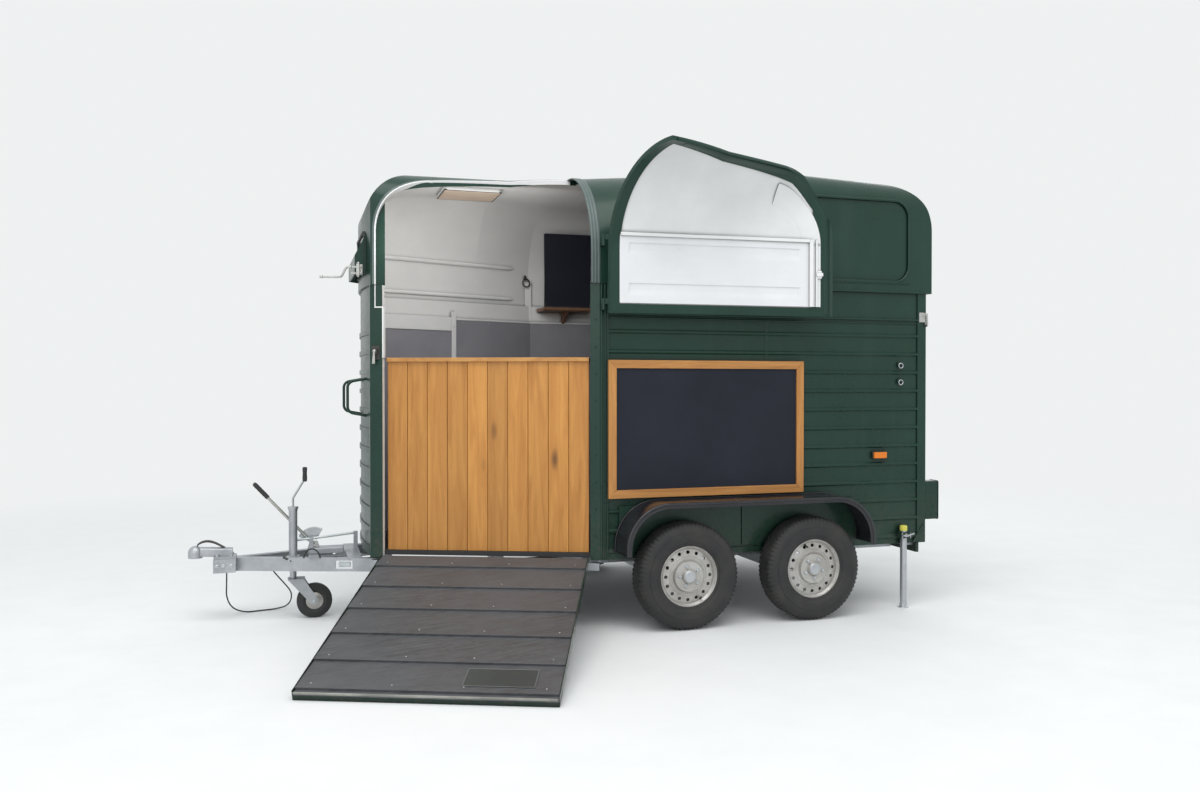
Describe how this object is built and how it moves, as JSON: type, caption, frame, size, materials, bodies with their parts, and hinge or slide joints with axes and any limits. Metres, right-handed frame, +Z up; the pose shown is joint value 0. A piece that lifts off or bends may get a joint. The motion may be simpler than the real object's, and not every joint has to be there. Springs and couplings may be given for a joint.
{
  "type": "ice cream serving trailer",
  "caption": "Twin-axle box trailer with a tapered front, side serving hatch over a counter, lowered side ramp, swung-open top door, drawbar and jockey wheel.",
  "frame": {"origin": "bottom centre of the whole bounding box, on the ground", "axes": "+X towards the rear doors, +Y away from the serving side, +Z up"},
  "size_m": [4.401, 3.1248, 2.637],
  "materials": {
    "painted_green": "satin dark green paint",
    "oak_boards": "varnished oak boards",
    "kick_paint": "grey kick board",
    "varnished_wood": "oiled timber",
    "white_lining": "white lining sheet",
    "floor_mat": "worn ramp and floor matting",
    "window": "clear pane",
    "chrome_bar": "polished",
    "zinc": "zinc plated",
    "solid_rubber": "solid rubber",
    "blank_board": "dark chalkboard paint",
    "black_cable": "black cable sheath",
    "black_plastic": "black moulded plastic",
    "tyre": "road tyre",
    "wheel_paint": "silver wheel paint"
  },
  "bodies": {
    "trailer": {"axle_beam_first": "painted_green", "axle_beam_second": "painted_green", "body_posts_far": "painted_green", "body_posts_near": "painted_green", "ceiling_light": "white_lining", "chassis_frame": "painted_green", "chassis_members": "painted_green", "counter_ledge": "oak_boards", "counter_panel": "oak_boards", "coupling_head": "painted_green", "door_hinges": "painted_green", "drawbar": "painted_green", "electric_lead": "black_cable", "floor_deck": "floor_mat", "front_bars": "painted_green", "front_hood": "painted_green", "front_panel": "painted_green", "front_wall_far": "painted_green", "front_window": "window", "handbrake_lever": "chrome_bar", "inner_shelf": "varnished_wood", "jockey_clamp": "painted_green", "jockey_crank": "zinc", "jockey_tube": "painted_green", "kick_boards": "kick_paint", "lamp_boxes": "painted_green", "lead_fittings": "black_plastic", "lead_plug": "black_plastic", "mudguard_far": "painted_green", "mudguard_near": "painted_green", "ramp_hinges": "painted_green", "rear_frame": "painted_green", "rear_hinges": "painted_green", "roof_shell": "painted_green", "shelf_sign": "blank_board", "side_wall_far": "painted_green", "side_wall_near": "painted_green", "sign_board": "blank_board", "sign_frame": "varnished_wood", "stand_clamps": "painted_green"},
    "side_door": {"door_lining": "white_lining", "side_door": "painted_green"},
    "jockey_fork": {"jockey_fork": "zinc"},
    "jockey_stem": {"jockey_stem": "zinc"},
    "jockey_wheel": {"jockey_wheel": "solid_rubber"},
    "prop_stand_far": {"prop_stand_far": "zinc"},
    "prop_stand_near": {"prop_stand_near": "zinc"},
    "side_ramp": {"ramp_deck": "floor_mat", "ramp_frame": "painted_green"},
    "rear_door_far": {"rear_door_far": "painted_green"},
    "rear_door_near": {"rear_door_near": "painted_green"},
    "rear_ramp": {"rear_ramp": "painted_green"},
    "wheel_far_first": {"tyre_far_first": "tyre", "wheel_rim_far_first": "wheel_paint"},
    "wheel_far_second": {"tyre_far_second": "tyre", "wheel_rim_far_second": "wheel_paint"},
    "wheel_near_first": {"tyre_near_first": "tyre", "wheel_rim_near_first": "wheel_paint"},
    "wheel_near_second": {"tyre_near_second": "tyre", "wheel_rim_near_second": "wheel_paint"}
  },
  "joints": [
    {"name": "wheel_spin_near_first", "type": "hinge", "parent": "trailer", "child": "wheel_near_first", "pos_m": [0.4585, -0.45712, 0.298], "axis": [0, 1, 0], "continuous": true},
    {"name": "wheel_spin_near_second", "type": "hinge", "parent": "trailer", "child": "wheel_near_second", "pos_m": [1.2365, -0.45712, 0.298], "axis": [0, 1, 0], "continuous": true},
    {"name": "wheel_spin_far_first", "type": "hinge", "parent": "trailer", "child": "wheel_far_first", "pos_m": [0.4585, 1.45788, 0.298], "axis": [0, 1, 0], "continuous": true},
    {"name": "wheel_spin_far_second", "type": "hinge", "parent": "trailer", "child": "wheel_far_second", "pos_m": [1.2365, 1.45788, 0.298], "axis": [0, 1, 0], "continuous": true},
    {"name": "side_ramp_hinge", "type": "hinge", "parent": "trailer", "child": "side_ramp", "pos_m": [-0.07536, -0.35309, 0.375], "axis": [-0.9245, 0.3811, 0], "range_deg": [0, 106]},
    {"name": "side_door_hinge", "type": "hinge", "parent": "trailer", "child": "side_door", "pos_m": [-0.0095, -0.42462, 2], "axis": [0, 0, 1], "range_deg": [-199.5, 0]},
    {"name": "rear_ramp_hinge", "type": "hinge", "parent": "trailer", "child": "rear_ramp", "pos_m": [2.1115, 0.50038, 0.381], "axis": [0, 1, 0], "range_deg": [0, 105]},
    {"name": "rear_door_hinge_near", "type": "hinge", "parent": "trailer", "child": "rear_door_near", "pos_m": [2.1488, -0.26362, 2.1], "axis": [0, 0, -1], "range_deg": [0, 180]},
    {"name": "prop_stand_slide_near", "type": "slide", "parent": "trailer", "child": "prop_stand_near", "axis": [0, 0, 1], "range_m": [0, 0.28]},
    {"name": "rear_door_hinge_far", "type": "hinge", "parent": "trailer", "child": "rear_door_far", "pos_m": [2.1488, 1.26438, 2.1], "axis": [0, 0, 1], "range_deg": [0, 180]},
    {"name": "prop_stand_slide_far", "type": "slide", "parent": "trailer", "child": "prop_stand_far", "axis": [0, 0, 1], "range_m": [0, 0.28]},
    {"name": "jockey_slide", "type": "slide", "parent": "trailer", "child": "jockey_stem", "axis": [0, 0, 1], "range_m": [-0.15, 0.045]},
    {"name": "jockey_swivel", "type": "hinge", "parent": "jockey_stem", "child": "jockey_fork", "pos_m": [-1.6285, 0.43438, 0.24], "axis": [0, 0, 1], "continuous": true},
    {"name": "jockey_spin", "type": "hinge", "parent": "jockey_fork", "child": "jockey_wheel", "pos_m": [-1.5105, 0.43438, 0.1], "axis": [0, 1, 0], "continuous": true}
  ]
}
